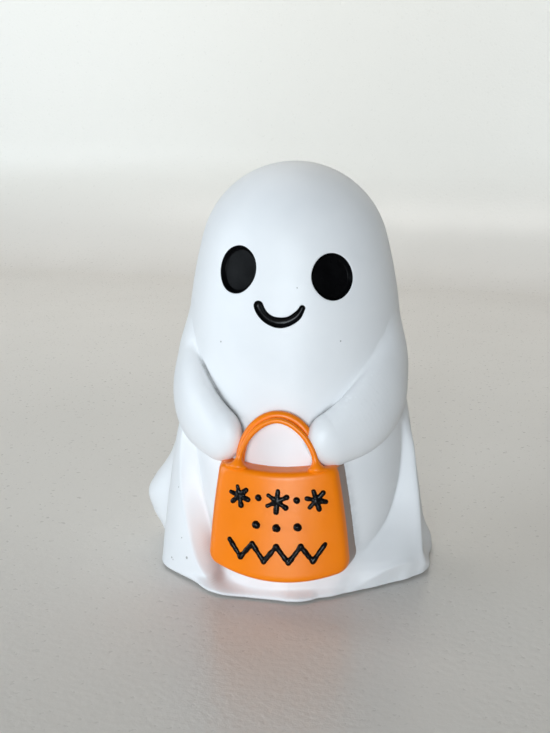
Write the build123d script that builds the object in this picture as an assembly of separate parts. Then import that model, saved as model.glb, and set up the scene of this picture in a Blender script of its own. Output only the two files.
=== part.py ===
from build123d import *
import math
import os

# Small ceramic ghost: a hollow slip-cast body under a draped sheet, two arms
# luted onto it, a treat bag with two loop handles held in front, black enamel
# in the eye sockets and the smile, and felt dots under the base.
# Millimetres. +Z up, the face looks along -Y, the origin is at the middle of
# the footprint on the surface that the figure stands on.

# ---------------------------------------------------------------- dimensions
HEIGHT = 120.0            # felt dots to crown
DOME_R = 28.0             # crown radius
WALL = 4.2                # cast wall thickness
FLOOR_T = 4.5             # cast floor thickness
HEM_Z = 0.6               # the hem clears the surface by this much
WAIST_Z = 60.0            # above this the body is a plain turned form
VENT_R = 6.0              # kiln vent and drain hole in the floor
AXIS_X, AXIS_Y = 2.27, 1.91   # where the crown's axis stands in this frame

PAD_R, PAD_T, PAD_AT = 5.5, 1.0, 24.0    # felt dots
PAD_SINK = PAD_T - HEM_Z                 # they sit in shallow recesses

EYE_DEPTH, EYE_FILL = 2.1, 0.75
# name: (azimuth from the front in degrees, + towards +X; height; socket width; socket height; lean in degrees)
EYES = {"right_eye": (-26.7, 91.0, 11.9, 13.2, 1.0), "left_eye": (27.9, 89.4, 12.0, 12.8, -1.0)}

SMILE = [(-6.4, 81.5), (-0.1, 77.1), (5.8, 81.2)]   # x, z of the groove's line
SMILE_R = 1.15

BAG_X = 0.4               # middle of the bag
BAG_TOP_Z = 38.6
BAG_LEFT, BAG_RIGHT = (16.6, 19.6), (15.7, 19.7)   # half widths at the top and the bottom, -X and +X side
BAG_TOP_OUT, BAG_SLOPE = 41.2, 0.128   # outer face: radius at the top, growth per mm down

LOOP_X = -0.05            # middle of the two handles
LOOP_Z = 38.0             # foot of both arches
# half width, height and roundness of an arch, radius of its rod, y at its foot and its top
FRONT_LOOP = (10.9, 13.2, 1.78, 0.9, -38.3, -37.4)
REAR_LOOP = (10.7, 13.85, 2.0, 1.28, -35.9, -34.9)

# Turned profile above the waist: radius, height
CROWN = [(0.0, 120.0), (8.0, 118.83), (13.2, 116.69), (18.0, 113.45), (21.6, 109.82),
         (24.4, 105.73), (26.5, 101.0), (28.1, 95.2), (29.65, 88.0), (31.0, 80.0),
         (32.1, 70.0), (32.5, 60.0)]

# Plain flare of the sheet below the waist: height, radius
FLARE = [(0.0, 40.0), (4.0, 39.5), (9.0, 38.8), (16.0, 37.8), (24.0, 36.7),
         (32.0, 35.6), (41.0, 34.4), (50.0, 33.3), (60.0, 32.5)]

# Folds: (azimuth at the hem, azimuth at the waist, half width at the hem, half
# width at the waist in degrees, [(height, swell), ...]); + is a ridge
FOLDS = [
    (-98.0, -92.0, 12.0, 10.0, [(0, 1.4), (5, 4.0), (10, 7.7), (16, 10.0), (21, 8.2), (26, 5.2), (30, 3.4), (42, 0.9), (55, 0)]),
    (-79.0, -78.0, 6.0, 6.0, [(0, -2.7), (5, -3.0), (10, -2.6), (22, -1.8), (36, -0.6), (48, 0)]),
    (-4.0, -4.0, 15.0, 15.0, [(0, 1.7), (4, 1.3), (10, 0.5), (18, 0)]),
    (103.0, 97.0, 13.0, 10.0, [(0, 3.9), (4, 4.1), (8, 3.3), (12, 2.6), (18, 2.2), (36, 1.4), (50, 0.7), (60, 0)]),
    (86.0, 85.0, 6.0, 5.0, [(0, -0.4), (6, -0.5), (12, -1.1), (18, -1.3), (30, -0.8), (44, 0)]),
    (123.0, 122.0, 10.0, 9.0, [(0, -1.6), (10, -2.2), (24, -1.5), (40, 0)]),
    (147.0, 144.0, 12.0, 10.0, [(0, 2.0), (5, 2.6), (16, 2.4), (32, 1.5), (48, 0)]),
    (170.0, 170.0, 10.0, 9.0, [(0, -1.4), (10, -2.0), (24, -1.3), (40, 0)]),
    (-166.0, -164.0, 12.0, 10.0, [(0, 2.2), (5, 2.8), (16, 2.4), (32, 1.4), (46, 0)]),
    (-143.0, -142.0, 10.0, 9.0, [(0, -1.8), (10, -2.4), (24, -1.5), (40, 0)]),
    (-121.0, -120.0, 10.0, 9.0, [(0, 1.2), (6, 1.6), (16, 1.4), (30, 0.7), (44, 0)]),
]
# The fold at the right front: a ridge, and a bank from it down into the
# channel beside the bag. Tables by height: rise, azimuth, width, depth
RIDGE_AT = (-60.0, -64.0)
RIDGE_UP = [(0, 2.5), (4, 3.0), (16, 2.8), (38, 2.4), (50, 0.6), (60, 0)]
BANK = [(0, -22), (3, -29.5), (5, -33.5), (9, -37.8), (18, -44), (38, -54), (60, -58)]
BANK_W = [(0, 8), (9, 8), (18, 9), (38, 11), (60, 12)]
CHANNEL = [(0, 0.3), (2, 1.0), (3.5, 2.6), (5.5, 4.6), (8, 5.4), (11, 5.4), (16, 4.8), (22, 3.7), (30, 2.4), (38, 1.1), (50, 0)]
# The fold at the left front: a crease, a full panel out of it and a rounded
# edge. Tables by height: azimuth and depth of the crease, azimuth and rise of
# the edge, fullness of the panel between them
FOLD_IN = [(0, 27), (6, 31), (8, 33.5), (10.3, 37.9), (13.2, 46.5), (16.2, 55.2), (22, 65.3), (29, 71), (39, 75), (50, 77)]
FOLD_DEEP = [(0, 0.7), (6, 0.4), (8, 0.7), (10.3, 1.6), (13.2, 2.6), (16.2, 3.0), (22, 2.7), (29, 1.6), (39, 0.4), (48, 0)]
FOLD_OUT = [(0, 60), (3, 60), (7.3, 63), (11.5, 65), (15.5, 67), (22, 71), (29, 75), (36, 77.5), (48, 80)]
FOLD_UP = [(0, 4.3), (3, 5.2), (7.3, 5.2), (11.5, 4.9), (15.5, 4.4), (22, 3.5), (29, 2.7), (36, 2.3), (42, 1.2), (48, 0)]
FOLD_FULL = [(0, 3.3), (4, 3.0), (8, 1.9), (12, 1.0), (16, 0.4), (20, 0)]
# The hem there tucks under: height of the edge and slope below it, by azimuth
LIFT = [(30, 0.0), (36.5, 3.2), (41.5, 5.2), (47, 6.6), (53, 7.1), (58, 6.4), (62, 5.6), (66, 4.6), (70, 3.2), (75, 1.4), (80, 0.0)]
TUCK = [(30, 0.35), (40, 0.42), (49, 0.44), (54, 0.38), (59, 0.30), (66, 0.34), (74, 0.4)]
# Lip of the hem at the floor, by azimuth
HEM_OUT = [(-90, 0.0), (-60, 0.3), (-50, 0.0), (-42, 0.3), (-36, 1.0), (-31, 2.2), (-26, 3.0), (-21, 3.0), (-16, 2.1), (-11, 1.2),
           (-5, 0.9), (0, 1.1), (5, 2.1), (9, 2.5), (13, 2.1), (17, 0.8), (24, 0.5), (30, 0.2), (36, 0.0), (90, 0.0)]
SECTIONS = [HEM_Z, 2.0, 3.8, 6.0, 8.7, 12.0, 15.8, 20.3, 25.6, 31.5, 38.5, 46.0, 54.0, 62.0, 71.0, 80.0, 88.0, 95.2,
            101.0, 105.73, 109.82, 113.45, 116.69, 118.83, 119.7, 119.97]
SECTION_POINTS = 120
# Radius of the cast hollow: height, radius
HOLLOW = [(12.0, 29.5), (24.0, 29.0), (36.0, 28.7), (48.0, 28.5), (60.0, 28.3)]
HOLLOW_FLOOR_R = 28.0

# Arms: azimuth, height, half width along the skin, rise above the skin
ARM = [(81.0, 74.0, 4.2, -3.0), (78.5, 68.5, 7.2, 0.8), (73.0, 62.4, 9.6, 3.0), (63.5, 56.9, 10.7, 4.7),
       (51.5, 52.0, 10.4, 5.8), (40.0, 48.0, 9.2, 6.2), (30.0, 45.2, 7.8, 6.4)]
ARM_BED = [4.6, 2.4, 1.4, 0.4, -0.7, -1.4, -1.6]   # how far an arm's middle lies under the skin
HAND = 8.2                # length of the rounded hand beyond the last section
ARM_SHIFT = {"right_arm": (-1, -0.3), "left_arm": (1, -5.2)}   # side, turn of the hand's end


# ------------------------------------------------------------------- helpers
def lerp(table, z):
    if z <= table[0][0]:
        return table[0][1]
    for (z0, v0), (z1, v1) in zip(table, table[1:]):
        if z <= z1:
            t = (z - z0) / (z1 - z0)
            return v0 + (v1 - v0) * t
    return table[-1][1]


def smooth(table, z):
    """Piecewise cubic through the table, flat where it turns."""
    n = len(table)
    if z <= table[0][0]:
        return table[0][1]
    if z >= table[-1][0]:
        return table[-1][1]
    hs = [table[i + 1][0] - table[i][0] for i in range(n - 1)]
    ds = [(table[i + 1][1] - table[i][1]) / hs[i] for i in range(n - 1)]
    m = [0.0] * n
    m[0], m[-1] = ds[0], ds[-1]
    for i in range(1, n - 1):
        if ds[i - 1] * ds[i] > 0:
            w1, w2 = 2 * hs[i] + hs[i - 1], hs[i] + 2 * hs[i - 1]
            m[i] = (w1 + w2) / (w1 / ds[i - 1] + w2 / ds[i])
    for i in range(n - 1):
        if z <= table[i + 1][0]:
            t = (z - table[i][0]) / hs[i]
            a, b = table[i][1], table[i + 1][1]
            return (a * (1 + 2 * t) * (1 - t) ** 2 + m[i] * hs[i] * t * (1 - t) ** 2
                    + b * t * t * (3 - 2 * t) + m[i + 1] * hs[i] * t * t * (t - 1))
    return table[-1][1]


def soft_min(a, b, k):
    h = max(k - abs(a - b), 0.0) / k
    return min(a, b) - h * h * k * 0.25


def ramp(a, b, x):
    t = max(0.0, min(1.0, (x - a) / (b - a)))
    return t * t * (3 - 2 * t)


def right_fold(phi, z):
    """Swell of the right front fold and of the channel beside it."""
    b, w = smooth(BANK, z), smooth(BANK_W, z)
    down = ramp(b - 0.5 * w, b + 0.5 * w, phi)
    t = min(1.0, z / WAIST_Z)
    d = phi - (RIDGE_AT[0] + (RIDGE_AT[1] - RIDGE_AT[0]) * t)
    wide = 11.0 - 2.0 * t if d < 0 else 12.0 + 4.0 * ramp(0, 9, z)
    return (smooth(RIDGE_UP, z) * math.exp(-0.5 * (d / wide) ** 2) * (1 - down)
            - smooth(CHANNEL, z) * math.exp(-0.5 * ((phi - b) / 10.0) ** 2) * down)


def left_fold(phi, z, base):
    """Radius over the left front fold, from the radius without it."""
    fi, fo = smooth(FOLD_IN, z), smooth(FOLD_OUT, z)
    deep, up = smooth(FOLD_DEEP, z), smooth(FOLD_UP, z)
    a, b, t = math.radians(fi), math.radians(fo), math.radians(phi)
    xi, yi = (base - deep) * math.sin(a), -(base - deep) * math.cos(a)
    xo, yo = (base + up) * math.sin(b), -(base + up) * math.cos(b)
    m = math.hypot(yo - yi, xo - xi)
    nx, ny = (yo - yi) / m, (xi - xo) / m
    panel = (xi * nx + yi * ny) / max(math.sin(t) * nx - math.cos(t) * ny, 0.15)
    u = max(0.0, min(1.0, (phi - fi) / (fo - fi)))
    panel += smooth(FOLD_FULL, z) * 6.75 * u * u * (1 - u)
    panel -= max(0.0, (fi - 3.0 - phi) / 6.0) ** 2
    lead = base - deep * math.exp(-abs(phi - fi) / 11.0)
    d = phi - fo
    if d > 0:
        edge = base + (up + 0.35) * math.exp(-0.5 * (d / (6.5 + 5.0 * ramp(9.0, 3.0, z))) ** 2)
    else:
        edge = base + up + 0.35 - 0.12 * d
    return soft_min(-soft_min(-lead, -panel, 1.2), edge, 1.6)


def folded(phi, z):
    """Radius of the sheet's skin with all its folds, before the hem is turned under."""
    phi = (phi + 180.0) % 360.0 - 180.0
    r = smooth(FLARE, z)
    t = max(0.0, min(1.0, z / WAIST_Z))
    for hem, waist, w0, w1, swell in FOLDS:
        a = smooth(swell, z)
        if a:
            d = (phi - (hem + (waist - hem) * t) + 180.0) % 360.0 - 180.0
            w = w0 + (w1 - w0) * t
            r += a * math.exp(-0.5 * (d / w) ** 2)
    r += right_fold(phi, z)
    if 5 < phi < 110 and z < 48:
        r = left_fold(phi, z, r)
    return r


def skin(phi, z):
    """Radius of the body's outer skin at an azimuth (degrees) and a height."""
    if z >= CROWN[6][1]:
        return math.sqrt(max(0.0, DOME_R ** 2 - (z - HEIGHT + DOME_R) ** 2))
    if z >= WAIST_Z:
        return smooth([(b, a) for a, b in reversed(CROWN)], z)
    phi = (phi + 180.0) % 360.0 - 180.0
    r = folded(phi, z)
    if z < 9 and 28 < phi < 82:
        edge = smooth(LIFT, phi)
        if edge > 0.05:
            r = soft_min(r, folded(phi, edge) + (z - edge) * smooth(TUCK, phi) + 0.08, 0.8 * min(1.0, edge))
    if z < 3.4 and abs(phi) < 90:
        r += smooth(HEM_OUT, phi) * ramp(3.4, 1.3, z)
    return r


def at(phi, z, r):
    a = math.radians(phi)
    return Vector(r * math.sin(a), -r * math.cos(a), z)


def ring(z, points=SECTION_POINTS, grow=0.0):
    pts = [at(180.0 + 360.0 * i / points, z, skin(180.0 + 360.0 * i / points, z) + grow)
           for i in range(points)]
    return Wire([Spline(*pts, periodic=True)])


def one(shape):
    """The largest solid of a result, which drops crumbs of a cut."""
    return max(shape.solids(), key=lambda s: s.volume)


# ---------------------------------------------------------------------- body
outer = Solid.make_loft([ring(z) for z in SECTIONS] + [Vertex(0, 0, HEIGHT)])

floor_z = HEM_Z + FLOOR_T
cavity_line = Spline((HOLLOW_FLOOR_R, 0, floor_z), *[(r, 0, z) for z, r in HOLLOW],
                     (31.0 - WALL, 0, 80.0), (28.1 - WALL, 0, 95.2), (21.2, 0, 105.6), (12.6, 0, 112.6),
                     (0, 0, HEIGHT - WALL))
cavity = revolve(make_face([cavity_line,
                            Line((0, 0, HEIGHT - WALL), (0, 0, floor_z)),
                            Line((0, 0, floor_z), (HOLLOW_FLOOR_R, 0, floor_z))]), Axis.Z)
vent = Pos(0, 0, HEM_Z) * Cylinder(VENT_R, 2 * FLOOR_T + 2, align=(Align.CENTER, Align.CENTER, Align.CENTER))

# Felt dots in shallow recesses
pad_spots = [at(a, 0, PAD_AT) for a in (45, 135, 225, 315)]
pads = [Pos(v.X, v.Y, 0) * Cylinder(PAD_R, PAD_T, align=(Align.CENTER, Align.CENTER, Align.MIN)) for v in pad_spots]

# Eye sockets, and the enamel that lies in them
sockets, eye_fill = {}, {}
for name, (phi, z, eye_w, eye_h, lean) in EYES.items():
    r = skin(phi, z)
    slope = (skin(phi, z + 1.5) - skin(phi, z - 1.5)) / 3.0
    a = math.radians(phi)
    normal = Vector(math.sin(a), -math.cos(a), -slope).normalized()
    side = Vector(math.cos(a), math.sin(a), 0)
    plane = Plane(origin=at(phi, z, r), x_dir=side, z_dir=normal).rotated((0, 0, lean))
    floor = extrude(plane.offset(-EYE_DEPTH) * Ellipse(eye_w / 2, eye_h / 2), amount=EYE_DEPTH + 4)
    sockets[name] = floor
    fill = extrude(plane.offset(-EYE_DEPTH) * Ellipse(eye_w / 2, eye_h / 2), amount=EYE_FILL + 0.45)
    dish_r = 42.0
    dish = plane * (Pos(0, 0, -EYE_DEPTH + EYE_FILL + dish_r) * Sphere(dish_r))
    eye_fill[name] = one(fill - dish)

# Smile groove, and the enamel that lines it
smile_pts = [at(math.degrees(math.asin(x / skin(0, z))), z, skin(0, z)) for x, z in SMILE]
smile_arc = ThreePointArc(*smile_pts)


def bent_rod(path, radius):
    start = Plane(origin=path @ 0, z_dir=path % 0)
    rod = sweep(start * Circle(radius), path=path)
    return rod + Pos(path @ 0) * Sphere(radius) + Pos(path @ 1) * Sphere(radius)


groove = bent_rod(smile_arc, SMILE_R)
out_dir = Vector(0, -1, 0.16).normalized()
inner_arc = ThreePointArc(*[p + out_dir * 0.28 for p in smile_pts])
smile = one((groove & outer) - bent_rod(inner_arc, SMILE_R - 0.17))

body = outer - cavity - vent
for s in sockets.values():
    body = body - s
body = body - groove
for p in pads:
    body = body - p
body = one(body)

# ---------------------------------------------------------------------- arms
arms, arm_whole = {}, {}
for name, (side, turn) in ARM_SHIFT.items():
    spots, out = [], []
    n = len(ARM)
    for i, (phi, z, half, rise) in enumerate(ARM):
        f = side * (phi + turn * max(0.0, (i - 1) / (n - 2)))
        base_r = smooth(FLARE, z) if z < WAIST_Z else skin(f, z)
        spots.append(at(f, z, base_r - ARM_BED[i]))
        out.append(at(f, 0, 1))
    line = Spline(*spots)
    wires = []
    for i, (v, (_, _, half, rise)) in enumerate(zip(spots, ARM)):
        along = line % line.param_at_point(v)
        radial = (out[i] - along * out[i].dot(along)).normalized()
        wires.append(Wire([Plane(origin=v, x_dir=along.cross(radial), z_dir=along)
                           * Edge.make_ellipse(half, rise + ARM_BED[i], start_angle=270, end_angle=630)]))
    ahead = line % 1
    ahead = (ahead + Vector(0, 0, 0.12)).normalized()
    radial = (out[-1] - ahead * out[-1].dot(ahead)).normalized()
    half, rise = ARM[-1][2], ARM[-1][3] + ARM_BED[-1]
    for t in (0.35, 0.62, 0.82, 0.94):
        k = math.sqrt(1 - t * t)
        wires.append(Wire([Plane(origin=spots[-1] + ahead * HAND * t, x_dir=ahead.cross(radial), z_dir=ahead)
                           * Edge.make_ellipse(half * k, rise * k, start_angle=270, end_angle=630)]))
    whole = Solid.make_loft(wires + [Vertex(*(spots[-1] + ahead * HAND))])
    arm_whole[name] = whole
    arms[name] = one(whole - outer)

# ----------------------------------------------------------------------- bag
bl, br = (BAG_X - BAG_LEFT[1], 11.4), (BAG_X + BAG_RIGHT[1], 10.0)
tl, tr = (BAG_X - BAG_LEFT[0], BAG_TOP_Z + 0.3), (BAG_X + BAG_RIGHT[0], BAG_TOP_Z + 0.1)
front = make_face([
    ThreePointArc((tl[0], 0, tl[1]), (BAG_X, 0, BAG_TOP_Z - 1.2), (tr[0], 0, tr[1])),
    Line((tr[0], 0, tr[1]), (br[0], 0, br[1])),
    ThreePointArc((br[0], 0, br[1]), (BAG_X, 0, 6.9), (bl[0], 0, bl[1])),
    Line((bl[0], 0, bl[1]), (tl[0], 0, tl[1])),
])
low = [v for v in front.vertices() if v.Z < 20]
front = fillet(low, 4.5)
front = fillet([v for v in front.vertices() if v.Z > 38.0 and abs(v.X - BAG_X) > BAG_RIGHT[0] - 1], 1.4)
block = extrude(front, amount=60, dir=(0, -1, 0))
block = block - Pos(0, 0, 20) * Box(80, 44, 60)          # keeps what lies in front of y = -22
cone = revolve(make_face(Polyline((0, 0, -2), (BAG_TOP_OUT + BAG_SLOPE * (BAG_TOP_Z + 2), 0, -2),
                                  (BAG_TOP_OUT - BAG_SLOPE * 8, 0, BAG_TOP_Z + 8),
                                  (0, 0, BAG_TOP_Z + 8), close=True)), Axis.Z)
bag_slab = block & cone
rim = [e for e in bag_slab.edges()
       if all(math.hypot(p.X, p.Y) > BAG_TOP_OUT + BAG_SLOPE * (BAG_TOP_Z - p.Z) - 0.25
              for p in (e @ 0.02, e @ 0.5, e @ 0.98))]
bag_slab = bag_slab.fillet(1.3, rim)
bag_cut = bag_slab - outer
for a in arm_whole.values():
    bag_cut = bag_cut - a
treat_bag = one(bag_cut)


# ------------------------------------------------------------------- handles
def loop(wide, high, power, thick, foot_y, top_y):
    """A rod bent into an arch that leans from foot_y to top_y, with a short leg under each foot."""
    up = Vector(0, top_y - foot_y, high).normalized()
    foot, side = Vector(LOOP_X, foot_y, LOOP_Z), Vector(1, 0, 0)
    pts = [foot - side * wide - up * 3.0]
    for i in range(17):
        a = math.pi * i / 16
        c = math.cos(a)
        pts.append(foot - side * (wide * math.copysign(abs(c) ** (2 / power), c)) + up * (high * math.sin(a) ** (2 / power) if 0 < i < 16 else 0.0))
    pts.append(foot + side * wide - up * 3.0)
    path = Spline(*pts, tangents=[up, -up])
    return sweep(Plane(origin=path @ 0, z_dir=path % 0) * Circle(thick), path=path)


front_loop = loop(*FRONT_LOOP)
rear_loop = loop(*REAR_LOOP)
front_cut = front_loop - bag_slab - outer
rear_cut = rear_loop - bag_slab - outer
for a in arm_whole.values():
    front_cut, rear_cut = front_cut - a, rear_cut - a
front_handle = one(front_cut)
rear_pieces = [s for s in rear_cut.solids() if s.volume > 2.0]

# ------------------------------------------------- raised marks on the bag
MARK_R = 0.72


def on_bag(x, z, sink=0.12):
    r = BAG_TOP_OUT + BAG_SLOPE * (BAG_TOP_Z - z) - sink
    return Vector(x, -math.sqrt(r * r - x * x), z)


def stroke(a, b, rad=MARK_R):
    p, q = on_bag(*a), on_bag(*b)
    rod = Solid.make_cylinder(rad, (q - p).length, Plane(origin=p, z_dir=q - p))
    return rod + Pos(p) * Sphere(rad) + Pos(q) * Sphere(rad)


def joined(strokes):
    whole = strokes[0]
    for s in strokes[1:]:
        whole = whole + s
    return whole


marks = []
for x, z, size, turn in [(-10.1, 30.4, 2.6, 12), (0.5, 29.6, 2.9, -4), (11.1, 30.0, 2.6, 18)]:
    arms3 = []
    for k in range(3):
        a = math.radians(90 + turn + 60 * k)
        dx, dz = size * math.cos(a), size * math.sin(a)
        arms3.append(stroke((x - dx, z - dz), (x + dx, z + dz)))
    marks.append(joined(arms3))
for x, z in [(-4.7, 30.4), (5.8, 30.1)]:
    marks.append(Pos(on_bag(x, z)) * Sphere(1.0))
for x, z in [(-5.2, 22.9), (0.5, 22.3), (6.2, 22.7)]:
    marks.append(Pos(on_bag(x, z)) * Sphere(1.15))
zig = [(-12.7, 18.0), (-9.5, 13.6), (-6.2, 17.6), (-2.9, 12.9), (0.5, 17.2), (3.9, 12.8), (7.2, 17.4),
       (10.5, 13.2), (13.7, 17.8)]
marks.append(joined([stroke(a, b) for a, b in zip(zig, zig[1:])]))
marks = [one(m - bag_slab) for m in marks]

# -------------------------------------------------------------------- output
nodes = {
    "body_shell": body,
    "right_arm": arms["right_arm"],
    "left_arm": arms["left_arm"],
    "treat_bag": treat_bag,
    "bag_front_handle": front_handle,
    "bag_rear_handle": Compound(rear_pieces) if len(rear_pieces) > 1 else rear_pieces[0],
    "bag_marks": Compound(marks),
    "right_eye": eye_fill["right_eye"],
    "left_eye": eye_fill["left_eye"],
    "smile": smile,
    "felt_pads": Compound([p.solids()[0] for p in pads]),
}
os.makedirs("parts", exist_ok=True)
for name, shape in nodes.items():
    export_step(Pos(AXIS_X, AXIS_Y, 0) * shape, f"parts/{name}.step")
lo = [min(getattr(s.bounding_box().min, k) for s in nodes.values()) for k in "XYZ"]
hi = [max(getattr(s.bounding_box().max, k) for s in nodes.values()) for k in "XYZ"]
print("box about the crown's axis", [round(v, 3) for v in lo], [round(v, 3) for v in hi])
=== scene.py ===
import math
import bmesh
import bpy
import numpy as np
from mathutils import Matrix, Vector


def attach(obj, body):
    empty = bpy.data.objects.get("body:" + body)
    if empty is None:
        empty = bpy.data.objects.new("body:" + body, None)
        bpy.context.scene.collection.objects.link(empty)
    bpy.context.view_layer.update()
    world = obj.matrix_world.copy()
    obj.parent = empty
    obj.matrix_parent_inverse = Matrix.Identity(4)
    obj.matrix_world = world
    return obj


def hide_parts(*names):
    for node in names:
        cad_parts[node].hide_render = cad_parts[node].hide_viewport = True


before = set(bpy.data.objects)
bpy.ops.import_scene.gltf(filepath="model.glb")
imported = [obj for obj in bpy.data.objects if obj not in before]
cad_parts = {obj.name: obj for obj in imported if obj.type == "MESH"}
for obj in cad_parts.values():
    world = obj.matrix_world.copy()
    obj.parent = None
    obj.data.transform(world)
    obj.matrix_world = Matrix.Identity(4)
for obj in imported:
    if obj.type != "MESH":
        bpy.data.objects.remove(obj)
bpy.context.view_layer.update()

# A small ceramic ghost under a draped sheet, with a treat bag. All shapes below are worked out in millimetres about
# the crown's axis, with the face along -Y, and are moved into the part's frame when a mesh is made.
AXIS = np.array([2.27, 1.91, 0.0])
HEIGHT, DOME_R, HEM_Z = 120.0, 28.0, 0.6
DOME_Z = HEIGHT - DOME_R
SPHERE_FROM = 101.0
rng = np.random.default_rng(7)


# ------------------------------------------------------------------ curves
def pchip(table):
    """Monotone piecewise cubic through (x, y) pairs, flat outside them."""
    x = np.array([p[0] for p in table], float)
    y = np.array([p[1] for p in table], float)
    h, d = np.diff(x), np.diff(y) / np.diff(x)
    m = np.zeros(len(x))
    m[0], m[-1] = d[0], d[-1]
    for i in range(1, len(x) - 1):
        if d[i - 1] * d[i] > 0:
            a, b = 2 * h[i] + h[i - 1], h[i] + 2 * h[i - 1]
            m[i] = (a + b) / (a / d[i - 1] + b / d[i])

    def f(q):
        q = np.clip(np.asarray(q, float), x[0], x[-1])
        i = np.clip(np.searchsorted(x, q, side="right") - 1, 0, len(x) - 2)
        t = (q - x[i]) / h[i]
        return (y[i] * (1 + 2 * t) * (1 - t) ** 2 + m[i] * h[i] * t * (1 - t) ** 2
                + y[i + 1] * t * t * (3 - 2 * t) + m[i + 1] * h[i] * t * t * (t - 1))
    return f


def cubic(x, y, s0=None, s1=None):
    """C2 cubic spline through the points, with end slopes s0 and s1, or natural ends."""
    x, y = np.asarray(x, float), np.asarray(y, float)
    vec = y.ndim > 1
    if not vec:
        y = y[:, None]
    n, h = len(x), np.diff(x)
    A, b = np.zeros((n, n)), np.zeros((n, y.shape[1]))
    for i in range(1, n - 1):
        A[i, i - 1], A[i, i], A[i, i + 1] = 1 / h[i - 1], 2 * (1 / h[i - 1] + 1 / h[i]), 1 / h[i]
        b[i] = 3 * ((y[i] - y[i - 1]) / h[i - 1] ** 2 + (y[i + 1] - y[i]) / h[i] ** 2)
    for row, s, i, j in ((0, s0, 0, 1), (n - 1, s1, n - 1, n - 2)):
        if s is None:
            A[row, i], A[row, j] = 2, 1
            k = min(i, j)
            b[row] = 3 * (y[k + 1] - y[k]) / h[k]
        else:
            A[row, i] = 1
            b[row] = s
    m = np.linalg.solve(A, b)

    def f(q):
        q = np.clip(np.asarray(q, float), x[0], x[-1])
        i = np.clip(np.searchsorted(x, q, side="right") - 1, 0, n - 2)
        t = ((q - x[i]) / h[i])[..., None]
        hh = h[i][..., None]
        v = (y[i] * (1 + 2 * t) * (1 - t) ** 2 + m[i] * hh * t * (1 - t) ** 2
             + y[i + 1] * t * t * (3 - 2 * t) + m[i + 1] * hh * t * t * (t - 1))
        return v if vec else v[..., 0]
    return f


def smin(a, b, k):
    h = np.clip(k - np.abs(a - b), 0, None) / np.maximum(k, 1e-9)
    return np.minimum(a, b) - h * h * k * 0.25


def smax(a, b, k):
    return -smin(-a, -b, k)


def step(a, b, x):
    t = np.clip((x - a) / (b - a), 0, 1)
    return t * t * (3 - 2 * t)


def at(phi, z, r):
    a = np.radians(phi)
    return np.stack([r * np.sin(a), -r * np.cos(a), z + 0 * a], -1)


# -------------------------------------------------------------- body's skin
PROFILE = cubic([0, 4, 9, 16, 24, 32, 41, 50, 60, 70, 80, 88, 95.2, SPHERE_FROM],
                [40, 39.5, 38.8, 37.8, 36.7, 35.6, 34.4, 33.35, 32.55, 31.95, 30.95, 29.65, 28.1, 26.514],
                -0.125, -0.3394)


def turned(z):
    """Radius of the plain turned form."""
    z = np.asarray(z, float)
    return np.where(z < SPHERE_FROM, PROFILE(np.minimum(z, SPHERE_FROM)),
                    np.sqrt(np.clip(DOME_R ** 2 - (z - DOME_Z) ** 2, 0, None)))


# azimuth by height, widths to the left and right at the hem and at the top of the fold, swell by height
FOLDS = [(pchip(a), w, pchip(s)) for a, w, s in [
    ([(0, -98), (60, -92)], (12, 11, 10, 10), [(0, 1.4), (5, 4.0), (10, 7.7), (16, 10.0), (21, 8.2), (26, 5.2), (30, 3.4), (42, 0.9), (55, 0)]),
    ([(0, -79), (60, -78)], (6, 6, 6, 6), [(0, -3.0), (4, -3.3), (10, -2.6), (22, -1.8), (36, -0.6), (48, 0)]),
    ([(0, -4), (60, -4)], (17, 13, 17, 13), [(0, 1.7), (4, 1.3), (10, 0.5), (18, 0)]),
    ([(0, 103), (60, 97)], (13, 13, 10, 10), [(0, 3.9), (4, 3.9), (8, 2.8), (12, 2.2), (18, 2.1), (36, 1.4), (50, 0.7), (60, 0)]),
    ([(0, 86), (60, 85)], (6, 6, 5, 5), [(0, -0.4), (6, -0.5), (12, -1.1), (18, -1.3), (30, -0.8), (44, 0)]),
    ([(0, 123), (60, 122)], (10, 10, 9, 9), [(0, -1.6), (10, -2.2), (24, -1.5), (40, 0)]),
    ([(0, 147), (60, 144)], (12, 12, 10, 10), [(0, 2.0), (5, 2.6), (16, 2.4), (32, 1.5), (48, 0)]),
    ([(0, 170), (60, 170)], (10, 10, 9, 9), [(0, -1.4), (10, -2.0), (24, -1.3), (40, 0)]),
    ([(0, -166), (60, -164)], (12, 12, 10, 10), [(0, 2.2), (5, 2.8), (16, 2.4), (32, 1.4), (46, 0)]),
    ([(0, -143), (60, -142)], (10, 10, 9, 9), [(0, -1.8), (10, -2.4), (24, -1.5), (40, 0)]),
    ([(0, -121), (60, -120)], (10, 10, 9, 9), [(0, 1.2), (6, 1.6), (16, 1.4), (30, 0.7), (44, 0)]),
]]
# the fold at the figure's right front: a ridge with a steep bank down into the channel beside the bag
RIDGE_UP = pchip([(0, 2.2), (4, 2.7), (12, 2.8), (16, 2.8), (38, 2.4), (50, 0.6), (60, 0)])
BANK = pchip([(0, -18), (1.0, -20), (1.9, -24), (3, -29.5), (5, -33.5), (9, -37.8), (18, -44), (38, -54), (60, -58)])
BANK_W = pchip([(0, 5), (3, 3.0), (9, 3.4), (18, 5.0), (38, 9), (60, 12)])
CHANNEL = pchip([(0, 0.0), (1.6, 0.1), (2.8, 1.8), (4.4, 4.4), (7, 5.7), (11, 5.8), (16, 5.0), (22, 3.8), (30, 2.4), (38, 1.1), (50, 0)])
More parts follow.
